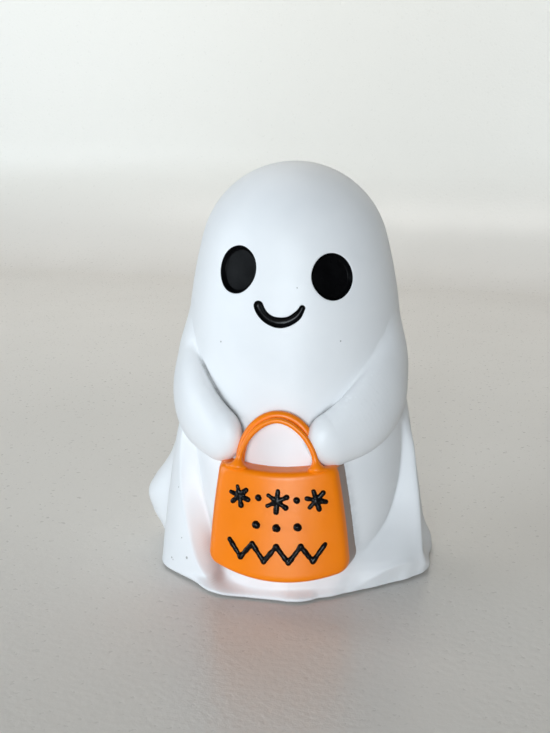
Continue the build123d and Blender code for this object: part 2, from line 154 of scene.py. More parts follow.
# the fold at its left front: a crease, a flat panel out of it and a rounded edge
FOLD_IN = pchip([(0, 27), (6, 31), (8, 33.5), (10.3, 37.9), (13.2, 46.5), (16.2, 55.2), (22, 65.3), (29, 71), (39, 75), (50, 77)])
FOLD_DEEP = pchip([(0, 0.7), (6, 0.4), (8, 0.7), (10.3, 1.6), (13.2, 2.6), (16.2, 3.0), (22, 2.7), (29, 1.6), (39, 0.4), (48, 0)])
FOLD_OUT = pchip([(0, 69), (3, 65.5), (7.3, 63.5), (11.5, 65), (15.5, 67), (22, 71), (29, 75), (36, 77.5), (48, 80)])
FOLD_UP = pchip([(0, 3.9), (3, 5.0), (7.3, 5.2), (11.5, 4.9), (15.5, 4.4), (22, 3.5), (29, 2.7), (36, 2.3), (42, 1.2), (48, 0)])
FOLD_FULL = pchip([(0, 3.6), (4, 3.5), (8, 2.3), (12, 1.1), (16, 0.4), (20, 0)])
LIFT = pchip([(30, 0.0), (36.5, 3.2), (41.5, 5.2), (47, 6.6), (53, 7.1), (58, 6.4), (62, 5.6), (66, 4.6), (70, 3.2), (75, 1.4), (80, 0.0)])
TUCK = pchip([(30, 0.35), (40, 0.42), (49, 0.44), (54, 0.38), (59, 0.30), (66, 0.34), (74, 0.4)])
# how far the hem's lip stands out at the floor
HEM_OUT = pchip([(-90, 0.0), (-75, 0.2), (-60, 0.3), (-50, 0.0), (-42, 0.3), (-36, 1.0), (-31, 2.2), (-26, 3.0), (-21, 3.0), (-16, 2.1), (-11, 1.2),
                 (-5, 0.9), (0, 1.1), (5, 2.1), (9, 2.5), (13, 2.1), (17, 0.8), (24, 0.5), (30, 0.2), (36, 0.0), (90, 0.0)])
HEM_R = 0.8


def right_fold(p, q):
    b, w = BANK(q), BANK_W(q)
    s = step(b - 0.5 * w, b + 0.5 * w, p)
    d = p - (-60.0 - 4.0 * np.clip(q / 60.0, 0, 1))
    wide = np.where(d < 0, 11.0 - 2.0 * np.clip(q / 60.0, 0, 1), 12.0 + 4.0 * step(0, 9, q))
    return (RIDGE_UP(q) * np.exp(-0.5 * (d / wide) ** 2) * (1 - s)
            - CHANNEL(q) * np.exp(-0.5 * ((p - b) / 10.0) ** 2) * s)


# painted shade and orange bounce light in the channel beside the bag, by height
CHANNEL_SHADE = pchip([(0, 0.0), (1.8, 0.15), (3.2, 0.9), (6, 1.0), (10, 0.85), (14, 0.5), (18, 0.22), (24, 0.08), (30, 0.0)])


def channel_shade(P):
    """Share of painted shade, tinted with painted orange bounce light, in the channel beside the bag."""
    phi, _ = polar(P)
    z = P[:, 2]
    b, w = BANK(z), BANK_W(z)
    d = phi - b - 2.2
    return CHANNEL_SHADE(z) * np.exp(-0.5 * (d / np.where(d < 0, 2.0, 3.6)) ** 2) * step(b - 0.15 * w, b + 0.15 * w, phi)


def left_fold(p, q, base):
    """Radius over the left front fold, from the radius without it."""
    fi, fo = FOLD_IN(q), FOLD_OUT(q)
    ri, ro = base - FOLD_DEEP(q), base + FOLD_UP(q)
    a, b = np.radians(fi), np.radians(fo)
    xi, yi, xo, yo = ri * np.sin(a), -ri * np.cos(a), ro * np.sin(b), -ro * np.cos(b)
    nx, ny = (yi - yo), (xo - xi)
    m = np.hypot(nx, ny)
    nx, ny = -nx / m, -ny / m
    far = xi * nx + yi * ny
    t = np.radians(p)
    panel = far / np.maximum(np.sin(t) * nx - np.cos(t) * ny, 0.15)
    u = np.clip((p - fi) / (fo - fi), 0, 1)
    panel = panel + FOLD_FULL(q) * 12.0 * u * u * (1 - u) ** 1.6
    panel = panel - np.clip((fi - 3.0 - p) / 6.0, 0, None) ** 2
    lead = base - FOLD_DEEP(q) * np.exp(-np.abs(p - fi) / 11.0)
    d = p - fo
    edge = base + np.where(d > 0, (FOLD_UP(q) + 0.35) * np.exp(-0.5 * (d / (6.5 + 5.0 * step(9.0, 3.0, q))) ** 2), FOLD_UP(q) + 0.35 - 0.12 * d)
    return smin(smax(lead, panel, 0.8), edge, 1.4)


def folded(phi, z):
    r = turned(z)
    low = z < 60
    if not np.any(low):
        return r
    phi, z, r = np.broadcast_arrays(np.asarray(phi, float), np.asarray(z, float), r)
    p, q = phi[low], z[low]
    add = np.zeros_like(q)
    t = np.clip(q / 60.0, 0, 1)
    for where, (l0, r0, l1, r1), swell in FOLDS:
        a = swell(q)
        d = (p - where(q) + 180.0) % 360.0 - 180.0
        w = np.where(d < 0, l0 + (l1 - l0) * t, r0 + (r1 - r0) * t)
        add += a * np.exp(-0.5 * (d / w) ** 2)
    add += right_fold(p, q)
    r = r.copy()
    r[low] += add
    part = low & (phi > 5) & (phi < 110) & (z < 48)
    if np.any(part):
        r[part] = left_fold(phi[part], z[part], r[part])
    return r


def skin(phi, z):
    """Radius of the sheet's outer skin. The hem tucks under along the front left corner of the figure."""
    phi, z = np.broadcast_arrays(np.asarray(phi, float), np.asarray(z, float))
    r = folded(phi, z)
    near = (z < 9) & (phi > 28) & (phi < 82)
    if np.any(near):
        r = r.copy()
        ze = LIFT(phi[near])
        top = folded(phi[near], ze)
        tuck = top + (z[near] - ze) * TUCK(phi[near]) + 0.08
        r[near] = np.where(ze > 0.02, smin(r[near], tuck, 0.35 * np.minimum(1, ze)), r[near])
    lip = (z < 3.4) & (np.abs(phi) < 90)
    if np.any(lip):
        r = r.copy()
        r[lip] += HEM_OUT(phi[lip]) * step(3.4, 1.3, z[lip])
    return r


def polar(P):
    return np.degrees(np.arctan2(P[:, 0], -P[:, 1])), np.hypot(P[:, 0], P[:, 1])


def body_sdf(P):
    phi, r = polar(P)
    return (r - skin(phi, P[:, 2])) * 0.985


# ------------------------------------------------------------------ meshing
def make(name, verts, faces, normals=None, tidy=False):
    """A mesh object from vertices in mm and a list of index arrays, one array for each number of corners."""
    v = (np.asarray(verts, float) + AXIS) * 0.001
    me = bpy.data.meshes.new(name)
    faces = [np.asarray(f, np.int32) for f in faces if len(f)]
    loops = np.concatenate([f.ravel() for f in faces])
    totals = np.concatenate([np.full(len(f), f.shape[1], np.int32) for f in faces])
    starts = np.concatenate([[0], np.cumsum(totals)[:-1]]).astype(np.int32)
    me.vertices.add(len(v))
    me.vertices.foreach_set("co", v.astype(np.float32).ravel())
    me.loops.add(len(loops))
    me.loops.foreach_set("vertex_index", loops)
    me.polygons.add(len(totals))
    me.polygons.foreach_set("loop_start", starts)
    me.polygons.foreach_set("loop_total", totals)
    me.update(calc_edges=True)
    me.validate()
    if tidy:
        bm = bmesh.new()
        bm.from_mesh(me)
        bmesh.ops.recalc_face_normals(bm, faces=bm.faces)
        bm.to_mesh(me)
        bm.free()
    me.polygons.foreach_set("use_smooth", np.full(len(me.polygons), True))
    if normals is not None:
        me.normals_split_custom_set_from_vertices(normals.astype(np.float32))
    o = bpy.data.objects.new(name, me)
    bpy.context.scene.collection.objects.link(o)
    return o


def stain(o, amount, name="painted_shadow"):
    """Keeps a share of painted shade for each vertex under the given attribute name, which the glaze reads."""
    a = o.data.attributes.new(name, "FLOAT", "POINT")
    a.data.foreach_set("value", np.asarray(amount, np.float32))


def grid_faces(rows, cols, closed):
    i = np.arange(rows - 1)[:, None]
    j = np.arange(cols if closed else cols - 1)[None, :]
    k = (j + 1) % cols
    return np.stack([i * cols + j, i * cols + k, (i + 1) * cols + k, (i + 1) * cols + j], -1).reshape(-1, 4)


def chunks(f, P, size=300000):
    return np.concatenate([f(P[i:i + size]) for i in range(0, len(P), size)])


def gradient(f, P, e=0.04):
    g = np.empty_like(P)
    for i in range(3):
        d = np.zeros(3)
        d[i] = e
        g[:, i] = (chunks(f, P + d) - chunks(f, P - d)) / (2 * e)
    return g


def surface(f, lo, hi, h, relax=2):
    """Closed mesh of f = 0 over a box, from a grid of step h: dual vertices, relaxed and brought onto the surface."""
    lo = np.asarray(lo, float)
    n = np.ceil((np.asarray(hi, float) - lo) / h).astype(int) + 1
    ax = [lo[i] + h * np.arange(n[i]) for i in range(3)]
    P = np.stack(np.meshgrid(*ax, indexing="ij"), -1).reshape(-1, 3)
    V = chunks(f, P).reshape(n)
    V[0], V[-1], V[:, 0], V[:, -1], V[:, :, 0], V[:, :, -1] = 1, 1, 1, 1, 1, 1
    S = V < 0
    corners = [(a, b, c) for a in (0, 1) for b in (0, 1) for c in (0, 1)]
    count = sum(S[a:n[0] - 1 + a, b:n[1] - 1 + b, c:n[2] - 1 + c].astype(np.int8) for a, b, c in corners)
    mixed = (count > 0) & (count < 8)
    index = np.full(mixed.shape, -1, np.int64)
    cells = np.argwhere(mixed)
    index[mixed] = np.arange(len(cells))
    acc, num = np.zeros((len(cells), 3)), np.zeros(len(cells))
    for a in corners:
        for i in range(3):
            if a[i] == 0:
                b = list(a)
                b[i] = 1
                va = V[tuple((cells + a).T)]
                vb = V[tuple((cells + b).T)]
                hit = (va < 0) != (vb < 0)
                t = np.where(hit, va / np.where(hit, va - vb, 1), 0)
                p = np.repeat(np.array([a], float), len(cells), 0)
                p[:, i] += t
                acc[hit] += p[hit]
                num[hit] += 1
    verts = lo + h * (cells + acc / num[:, None])
    quads = []
    for i in range(3):
        u, v = (i + 1) % 3, (i + 2) % 3
        a = [slice(None)] * 3
        b = [slice(None)] * 3
        a[i], b[i] = slice(0, -1), slice(1, None)
        A = S[tuple(a)]
        e = np.argwhere(A != S[tuple(b)])
        e = e[(e[:, u] >= 1) & (e[:, v] >= 1) & (e[:, u] < n[u] - 1) & (e[:, v] < n[v] - 1)]
        du, dv = np.eye(3, dtype=int)[u], np.eye(3, dtype=int)[v]
        q = np.stack([index[tuple((e - du - dv).T)], index[tuple((e - dv).T)],
                      index[tuple(e.T)], index[tuple((e - du).T)]], -1)
        inside = A[tuple(e.T)]
        quads.append(np.where(inside[:, None], q, q[:, ::-1]))
    quads = np.concatenate(quads)
    edges = np.concatenate([quads[:, [0, 1]], quads[:, [1, 2]], quads[:, [2, 3]], quads[:, [3, 0]]])
    for k in range(relax + 2):
        if k < relax:
            s, c = np.zeros_like(verts), np.zeros(len(verts))
            for i, j in ((0, 1), (1, 0)):
                np.add.at(s, edges[:, i], verts[edges[:, j]])
                np.add.at(c, edges[:, i], 1)
            verts = verts + 0.5 * (s / c[:, None] - verts)
        g = gradient(f, verts)
        v = chunks(f, verts)
        d = -v[:, None] * g / np.maximum((g * g).sum(1), 0.05)[:, None]
        size = np.linalg.norm(d, axis=1)
        verts = verts + d * np.minimum(1, 0.6 * h / np.maximum(size, 1e-9))[:, None]
    return verts, quads


def used(verts, quads):
    keep, back = np.unique(quads, return_inverse=True)
    return verts[keep], back.reshape(quads.shape)


# --------------------------------------------------------------------- eyes
EYE_DEPTH, EYE_BEVEL = 1.75, 1.05


class Eye:
    """An oval socket: (u, v) are mm along and up the skin from its middle."""

    def __init__(self, phi, z, wide, high, lean, seed):
        a = math.radians(phi)
        slope = float(turned(z + 1.0) - turned(z - 1.0)) / 2.0
        self.n = np.array([math.sin(a), -math.cos(a), -slope])
        self.n /= np.linalg.norm(self.n)
        side = np.array([math.cos(a), math.sin(a), 0.0])
        up = np.cross(self.n, side)
        c, s = math.cos(math.radians(lean)), math.sin(math.radians(lean))
        self.u, self.v = c * side + s * up, -s * side + c * up
        self.c = at(phi, z, float(turned(z)))
        self.a, self.b = wide / 2, high / 2
        r = np.random.default_rng(seed)
        self.wob = [(k, r.normal(0, 0.055 / k ** 0.5), r.uniform(0, 6.28)) for k in (2, 3, 4, 5, 7)]

    def edge(self, u, v):
        """Distance outside the oval's outline, negative inside."""
        x, y = u / self.a, v / self.b
        q = np.sqrt(x * x + y * y)
        g = np.sqrt((x / self.a) ** 2 + (y / self.b) ** 2)
        th = np.arctan2(y, x)
        return q * (q - 1) / np.maximum(g, 1e-6) - sum(w * np.sin(k * th + p) for k, w, p in self.wob)

    def depth(self, d):
        """How far the socket lies under the skin: a rounded rim, a sloping wall and a shallow dish."""
        wall = step(0.30, -EYE_BEVEL, d)
        dish = np.clip(-d - EYE_BEVEL, 0, None)
        return (EYE_DEPTH - 0.25) * wall + 0.25 * (1 - np.exp(-dish / 2.0))

    def skin_point(self, u, v):
        """Point of the plain skin above (u, v)."""
        base = self.c + u[..., None] * self.u + v[..., None] * self.v
        t = np.zeros(u.shape)
        for _ in range(8):
            P = base + t[..., None] * self.n
            f = np.hypot(P[..., 0], P[..., 1]) - turned(P[..., 2])
            Q = P + 0.05 * self.n
            g = (np.hypot(Q[..., 0], Q[..., 1]) - turned(Q[..., 2]) - f) / 0.05
            t = t - f / g
        return base + t[..., None] * self.n

    def sink(self, P):
        """Displacement of body points P into the socket."""
        rel = P - self.c
        u, v = rel @ self.u, rel @ self.v
        near = (np.abs(u) < self.a + 2) & (np.abs(v) < self.b + 2) & (rel @ self.n > -6)
        d = np.full(len(P), 9.0)
        d[near] = self.edge(u[near], v[near])
        deep = self.depth(d) + 0.24 * step(0.16, -0.25, d)
        deep[d > 0.5] = 0
        return deep

    def film(self, name):
        """The black enamel in the socket: a thin dished sheet with a hand-painted outline."""
        rows, cols = 44, 160
        th = np.linspace(0, 2 * np.pi, cols, endpoint=False)
        rho = np.linspace(0, 1, rows + 1)[1:] ** 0.8
        out = np.ones(cols)
        for _ in range(12):
            d = self.edge(self.a * out * np.cos(th), self.b * out * np.sin(th)) - 0.10
            out -= d / (0.5 * (self.a + self.b))
        R = rho[:, None] * out[None, :]
        u, v = self.a * R * np.cos(th), self.b * R * np.sin(th)
        d = self.edge(u, v)
        P = self.skin_point(u, v) - self.n * (self.depth(d) - 0.07)[..., None]
        top = P.reshape(-1, 3)
        mid = self.skin_point(np.zeros(1), np.zeros(1)) - self.n * (self.depth(np.array([-6.0])) - 0.07)[:, None]
        verts = np.concatenate([top, mid, top - self.n * 0.42, mid - self.n * 0.42])
        m, c = len(top), len(top)
        off = m + 1
        f = grid_faces(rows, cols, True)
        j = np.arange(cols)
        k = (j + 1) % cols
        last = (rows - 1) * cols
        fan = np.stack([np.full(cols, c), j, k], -1)
        rim = np.stack([last + j, last + off + j, last + off + k, last + k], -1)
        return make(name, verts, [np.concatenate([f[:, ::-1], f + off, rim]), np.concatenate([fan, (fan + off)[:, ::-1]])],
                    tidy=True)


EYES = {"right_eye": Eye(-26.7, 91.0, 11.9, 13.2, 1.0, 11), "left_eye": Eye(27.9, 89.4, 12.0, 12.8, -1.0, 12)}

# -------------------------------------------------------------------- smile
def smile_arc():
    """Line of the smile: a circular arc in x and z."""
    (x0, z0), (x1, z1), (x2, z2) = (-6.35, 81.5), (-0.15, 77.15), (5.75, 81.15)
    A = np.array([[2 * (x1 - x0), 2 * (z1 - z0)], [2 * (x2 - x0), 2 * (z2 - z0)]])
    b = np.array([x1 ** 2 + z1 ** 2 - x0 ** 2 - z0 ** 2, x2 ** 2 + z2 ** 2 - x0 ** 2 - z0 ** 2])
    cx, cz = np.linalg.solve(A, b)
    rad = math.hypot(x0 - cx, z0 - cz)
    a0, a2 = math.atan2(z0 - cz, x0 - cx), math.atan2(z2 - cz, x2 - cx)
    if a0 > 0:
        a0 -= 2 * math.pi
    if a2 > 0:
        a2 -= 2 * math.pi
    return cx, cz, rad, a0, a2


MX, MZ, MR, MA0, MA1 = smile_arc()
SMILE_W = pchip([(-0.2, 1.38), (0.0, 1.38), (0.2, 1.24), (0.5, 1.36), (0.8, 1.2), (1.0, 0.78), (1.2, 0.78)])
SMILE_DEPTH = 0.95


def smile_local(x, z):
    """(distance from the smile's line, half width there, share along it)."""
    a = np.arctan2(z - MZ, x - MX)
    a = np.where(a > 0.5 * math.pi, a - 2 * math.pi, a)
    s = (a - MA0) / (MA1 - MA0)
    sc = np.clip(s, 0, 1)
    ang = MA0 + sc * (MA1 - MA0)
    px, pz = MX + MR * np.cos(ang), MZ + MR * np.sin(ang)
    return np.hypot(x - px, z - pz), SMILE_W(sc), sc


def smile_sink(P):
    near = (P[:, 1] < -20) & (np.abs(P[:, 0]) < 10) & (P[:, 2] > 73) & (P[:, 2] < 86)
    deep = np.zeros(len(P))
    d, w, _ = smile_local(P[near, 0], P[near, 2])
    t = np.clip(d / w, 0, 1.6)
    deep[near] = SMILE_DEPTH * np.where(t < 1, np.sqrt(np.clip(1 - 0.92 * t * t, 0, 1)) - 0.283, 0) / 0.717
    deep[near] = np.clip(deep[near], 0, None) + 0.2 * step(0.0, -0.35, d - w)
    return deep


def front_skin(x, z):
    return np.stack([x, -np.sqrt(np.clip(turned(z) ** 2 - x * x, 0, None)), z], -1)


def smile_film(name):
    ns, nc, cap = 90, 17, 10
    rows = [(0.0, -t) for t in np.sin(np.linspace(math.pi / 2, 0.12, cap))]
    rows += [(s, 0.0) for s in np.linspace(0, 1, ns)]
    rows += [(1.0, t) for t in np.sin(np.linspace(0.12, math.pi / 2, cap))]
    wob = np.random.default_rng(5)
    ph = wob.uniform(0, 6.28, 4)
    top = []
    for s, over in rows:
        w = float(SMILE_W(s)) * 1.06
        ang = MA0 + s * (MA1 - MA0)
        tan = np.array([-math.sin(ang), math.cos(ang)]) * (1 if MA1 > MA0 else -1)
        nor = np.array([math.cos(ang), math.sin(ang)])
        c = np.array([MX + MR * math.cos(ang), MZ + MR * math.sin(ang)]) + tan * over * w
        half = w * math.sqrt(max(1 - over * over, 0.0)) + 0.004
        jig = 1 + 0.035 * math.sin(9 * s + ph[0]) + 0.03 * math.sin(17 * s + ph[1])
        for q in np.sin(np.linspace(-math.pi / 2, math.pi / 2, nc)):
            top.append(c + nor * q * half * jig)
    top = np.array(top)
    d, w, _ = smile_local(top[:, 0], top[:, 1])
    t = np.clip(d / w, 0, 1.6)
    deep = SMILE_DEPTH * np.clip(np.where(t < 1, np.sqrt(np.clip(1 - 0.92 * t * t, 0, 1)) - 0.283, 0) / 0.717, 0, None)
    S = front_skin(top[:, 0], top[:, 1])
    n = S * np.array([1, 1, 0])
    n /= np.linalg.norm(n, axis=1)[:, None]
    n = n + np.array([0, 0, 0.12])
    n /= np.linalg.norm(n, axis=1)[:, None]
    P = S - n * (deep - 0.07)[:, None]
    R = len(rows)
    f = grid_faces(R, nc, False)
    off = len(P)
    verts = np.concatenate([P, P - n * 0.4])
    i = np.arange(R - 1)
    left = np.stack([i * nc, (i + 1) * nc, (i + 1) * nc + off, i * nc + off], -1)
    right = np.stack([i * nc + nc - 1, i * nc + nc - 1 + off, (i + 1) * nc + nc - 1 + off, (i + 1) * nc + nc - 1], -1)
    j = np.arange(nc - 1)
    head = np.stack([j, j + off, j + 1 + off, j + 1], -1)
    b = (R - 1) * nc
    tail = np.stack([b + j, b + j + 1, b + j + 1 + off, b + j + off], -1)
    return make(name, verts, [np.concatenate([f, (f + off)[:, ::-1], left, right, head, tail])], tidy=True)


# --------------------------------------------------------------------- body
VENT_R, WALL, FLOOR_T = 6.0, 4.2, 4.5
PADS = [at(a, 0.0, 24.0) for a in (45.0, 135.0, 225.0, 315.0)]
PAD_R = 5.5


def body_mesh(name):
    cols = 560
    t = np.linspace(-np.pi, np.pi, cols, endpoint=False)
    phi = np.degrees(t - 0.42 * np.sin(t))
    dome = [(DOME_R * math.sin(a), DOME_Z + DOME_R * math.cos(a))
            for a in np.radians(np.arange(1.0, math.degrees(math.acos((SPHERE_FROM - DOME_Z) / DOME_R)) - 0.4, 0.95))]
    zs = np.concatenate([np.arange(SPHERE_FROM, 98.5, -0.45), np.arange(98.5, 75.0, -0.27),
                         np.arange(75.0, 12.0, -0.42), np.arange(12.0, 1.5, -0.26)])
    rows = []
    for _, z in dome:
        rows.append(at(phi, np.full(cols, z), turned(z)))
    for z in zs:
        rows.append(at(phi, np.full(cols, z), skin(phi, np.full(cols, z))))
    hem_r = HEM_R
    foot = skin(phi, np.full(cols, HEM_Z + hem_r))
    for a in np.radians([0, 18, 36, 54, 72, 90]):
        rows.append(at(phi, np.full(cols, HEM_Z + hem_r * (1 - math.sin(a))), foot - hem_r * (1 - math.cos(a))))
    outer = len(rows)
    for k in (0.97, 0.9, 0.8, 0.7, 0.6, 0.5, 0.4, 0.3, 0.22):
        rows.append(at(phi, np.full(cols, HEM_Z), (foot - hem_r) * k + (1 - k) * 0.0))
    for r, z in ((VENT_R + 0.5, HEM_Z), (VENT_R + 0.12, HEM_Z + 0.12), (VENT_R, HEM_Z + 0.5), (VENT_R, HEM_Z + FLOOR_T - 0.4),
                 (VENT_R + 0.4, HEM_Z + FLOOR_T)):
        rows.append(at(phi, np.full(cols, z), r))
    for r, z in ((14, 5.1), (22, 5.1), (28, 5.2), (29.6, 6.2), (30.2, 9), (30.0, 16), (29.6, 26), (29.0, 38), (28.6, 50), (28.3, 60),
                 (27.7, 70), (26.7, 80), (25.4, 88), (23.6, 96), (20.6, 103), (16.5, 108.6), (11.5, 112.7), (6, 115.1), (2, 115.75)):
        rows.append(at(phi, np.full(cols, z), r))
    V = np.stack(rows)
    P = V[:outer].reshape(-1, 3)
    for e in EYES.values():
        P = P - e.n * e.sink(P)[:, None]
    n = P * np.array([1, 1, 0])
    n /= np.linalg.norm(n, axis=1)[:, None]
    n = n + np.array([0, 0, 0.12])
    n /= np.linalg.norm(n, axis=1)[:, None]
    P = P - n * smile_sink(P)[:, None]
    V[:outer] = P.reshape(outer, cols, 3)
    dark = np.zeros(len(P))
    # each arm's crack is cut into the body, and the body gets painted shade along the same crack
    for a in ARMS.values():
        P = P - n * (0.6 * a.gap(P, 0.42))[:, None]
        dark = np.maximum(dark, a.gap(P, 0.75))
    # painted shadow: the body is darkened in a strip right of the bag, where the bag's shadow falls
    dark = np.maximum(dark, 0.34 * np.exp(-(np.clip(bag_sdf(P) - 0.1, 0, None) / 1.4) ** 2)
                      * step(12.0, 15.0, P[:, 0] - BAG_X) * step(9.0, 14.0, P[:, 2]))
    V[:outer] = P.reshape(outer, cols, 3)
    verts = np.concatenate([V.reshape(-1, 3), [[0, 0, HEIGHT], [0, 0, HEIGHT - WALL]]])
    R = len(rows)
    f = grid_faces(R, cols, True)[:, ::-1]
    j = np.arange(cols)
    k = (j + 1) % cols
    a, b = R * cols, R * cols + 1
    caps = np.concatenate([np.stack([np.full(cols, a), j, k], -1),
                           np.stack([np.full(cols, b), (R - 1) * cols + k, (R - 1) * cols + j], -1)])
    o = make(name, verts, [f, caps])
    rest = np.zeros(len(verts) - len(dark))
    # painted shade in the arm cracks and painted shadow beside the bag
    stain(o, np.concatenate([dark, rest]))
    # painted shade and orange bounce light in the channel beside the bag
    stain(o, np.concatenate([channel_shade(P), rest]), "painted_shade")
    return o


# --------------------------------------------------------------------- arms
ARM = [(81.0, 73.0, 4.2, -2.6), (78.5, 68.5, 7.2, 0.8), (73.0, 62.4, 9.6, 3.0), (63.5, 56.9, 10.7, 4.7),
       (51.5, 52.0, 10.4, 5.8), (40.0, 48.0, 9.2, 6.2), (30.0, 45.2, 7.8, 6.4)]
HAND = 8.2
NEAR = 14.0
ARM_BED = [4.6, 2.4, 1.4, 0.4, -0.7, -1.4, -1.6]
SHARP = pchip([(0, 5.0), (0.2, 4.4), (0.34, 2.2), (0.46, 0.7), (0.6, 0.14), (1.0, 0.06)])
SOFT = pchip([(0, 5.0), (0.2, 4.6), (0.4, 2.6), (0.6, 1.4), (0.8, 0.6), (0.9, 0.2), (1.0, 0.1)])


class Arm:
    def __init__(self, side, turn, crease):
        self.side, self.crease = side, crease
        n = len(ARM)
        pts, self.half, self.rise, outs = [], [], [], []
        for i, (phi, z, half, rise) in enumerate(ARM):
            f = side * (phi + turn * max(0.0, (i - 1) / (n - 2)))
            pts.append(at(f, z, float(turned(z)) - ARM_BED[i]))
            outs.append(at(f, 0.0, 1.0))
        pts = np.array(pts)
        s = np.concatenate([[0], np.cumsum(np.linalg.norm(np.diff(pts, axis=0), axis=1))])
        s /= s[-1]
        line = cubic(s, pts)
        wide = cubic(s, np.array([a[2] for a in ARM]))
        rise = cubic(s, np.array([a[3] + b for a, b in zip(ARM, ARM_BED)]))
        out = cubic(s, np.array(outs))
        self.t = np.linspace(0, 1, 33)
        self.C = line(self.t)
        D = np.diff(self.C, axis=0)
        self.D = D / np.linalg.norm(D, axis=1)[:, None]
        T = line(np.clip(self.t + 0.004, 0, 1)) - line(np.clip(self.t - 0.004, 0, 1))
        self.T = T / np.linalg.norm(T, axis=1)[:, None]
        O = out(self.t)
        O = O - self.T * (O * self.T).sum(1)[:, None]
        self.O = O / np.linalg.norm(O, axis=1)[:, None]
        self.B = np.cross(self.T, self.O)
        self.w, self.h = wide(self.t), rise(self.t)

    def tube(self, P):
        """(signed distance to the sleeve, share along it, offset towards its upper edge)."""
        best = np.full(len(P), 1e9)
        seg = np.zeros(len(P), int)
        par = np.zeros(len(P))
        for i in range(len(self.t) - 1):
            a, d = self.C[i], self.C[i + 1] - self.C[i]
            t = np.clip(((P - a) @ d) / (d @ d), 0, 1)
            q = P - a - t[:, None] * d
            m = (q * q).sum(1)
            better = m < best
            best[better], seg[better], par[better] = m[better], i, t[better]
        share, total = np.zeros(len(P)), np.zeros(len(P))
        for i in range(len(self.t) - 1):
            a, d = self.C[i], self.C[i + 1] - self.C[i]
            t = np.clip(((P - a) @ d) / (d @ d), 0, 1)
            q = P - a - t[:, None] * d
            near = np.exp((best - (q * q).sum(1)) / NEAR)
            share += near * (i + t)
            total += near
        u = seg + par
        hard = step(0.45, 0.7, u / len(self.D))
        u = u * hard + share / total * (1 - hard)
        seg = np.clip(u.astype(int), 0, len(self.D) - 1)
        par = u - seg

        def mix(A):
            p = par[:, None] if A.ndim > 1 else par
            return A[seg] * (1 - p) + A[seg + 1] * p
        rel = P - mix(self.C)
        x = (rel * mix(self.B)).sum(1)
        y = (rel * mix(self.O)).sum(1)
        start = np.minimum((P - self.C[0]) @ self.D[0], 0)
        z = start + np.maximum((P - self.C[-1]) @ self.D[-1], 0)
        w, h = mix(self.w), mix(self.h)
        e = np.where(start < 0, w, HAND)
        k0 = np.sqrt((x / w) ** 2 + (y / h) ** 2 + (z / e) ** 2)
        k1 = np.sqrt((x / w ** 2) ** 2 + (y / h ** 2) ** 2 + (z / e ** 2) ** 2)
        return k0 * (k0 - 1) / np.maximum(k1, 1e-6), mix(self.t), x * self.side

    def sdf(self, P):
        f, s, _ = self.tube(P)
        b = body_sdf(P)
        k = self.crease(s)
        g = smin(f, b + 0.02 + 0.22 * step(0.55 * k, 0.95 * k, f), k)
        return np.maximum(np.maximum(g, -(b + 0.8)), f - k - np.minimum(0.25, 0.25 * k))

    def gap(self, P, fade):
        """Share of the open crack along the arm's upper edge at points P of the body, by distance and length."""
        out = np.zeros(len(P))
        lo, hi = self.box()
        near = ((P > lo) & (P < hi)).all(1)
        if near.any():
            f, s, x = self.tube(P[near])
            out[near] = np.exp(-(np.clip(f - 0.05, 0, None) / fade) ** 2) * self.open(s) * step(-1.0, 1.5, x)
        return out

    def open(self, s):
        return step(0.40, 0.58, s) if self.side < 0 else 0.75 * step(0.86, 0.97, s)

    def box(self):
        return self.C.min(0) - 13.0, self.C.max(0) + 13.0

    def mesh(self, name):
        """The arm's mesh. Where it runs out into the body its normals turn into the body's own."""
        v, q = used(*surface(self.sdf, *self.box(), 0.55))
        n = gradient(self.sdf, v)
        m = gradient(body_sdf, v)
        n /= np.maximum(np.linalg.norm(n, axis=1), 1e-9)[:, None]
        m /= np.maximum(np.linalg.norm(m, axis=1), 1e-9)[:, None]
        k = self.crease(self.tube(v)[1])
        b = body_sdf(v)
        w = np.where(b < -0.5, 1.0, step(0.0, 0.045, b / k))[:, None]
        v = v - m * 0.2 * step(0.0, -0.06, b)[:, None]
        n = n * w + m * (1 - w)
        n /= np.maximum(np.linalg.norm(n, axis=1), 1e-9)[:, None]
        o = make(name, v, [q], normals=n)
        _, s, x = self.tube(v)
        # painted shade in the open crack where the arm meets the body
        stain(o, 0.8 * step(1.0, 0.1, b) * self.open(s) * step(-1.0, 1.5, x))
        return o


ARMS = {"right_arm": Arm(-1, -0.3, SHARP), "left_arm": Arm(1, -5.2, SOFT)}

# ---------------------------------------------------------------------- bag
BAG_X = 0.4
BAG_TOP_Z, BAG_TOP_OUT, BAG_SLOPE = 38.6, 41.2, 0.128
LOOP_X = -0.05


def bag_outline(x, z, deep):
    """Distance outside the bag's outline, which widens with the depth behind its front."""
    t = np.clip((38.9 - z) / 27.5, -0.4, 1.4)
    bulge = 0.35 * np.sin(np.pi * np.clip(t, 0, 1))
    left = (BAG_X - 16.6 - 3.0 * t - bulge - 0.08 * deep - x) * 0.99
    right = (x - (BAG_X + 15.7 + 4.0 * t + bulge + 0.24 * deep)) * 0.96
    q = (x - BAG_X) / 19.7
    bottom = (6.9 + 3.4 * q * q - 0.7 * q - 0.12 * deep - z) * 0.95
    q = (x - BAG_X) / 15.7
    top = (z - (37.35 + 1.35 * q * q)) * 0.985
    low = smax(smax(left, bottom, 2.6), smax(right, bottom, 3.4), 0.01)
    return smax(low, smax(top, np.maximum(left, right), 2.4), 0.01)


def bag_sdf(P):
    r = np.hypot(P[:, 0], P[:, 1])
    out = (r - (BAG_TOP_OUT + BAG_SLOPE * (BAG_TOP_Z - P[:, 2]))) * 0.992
    f = smax(bag_outline(P[:, 0], P[:, 2], np.clip(-out - 0.8, 0, 9)), out, 1.9)
    return np.maximum(f, P[:, 1] + 22)


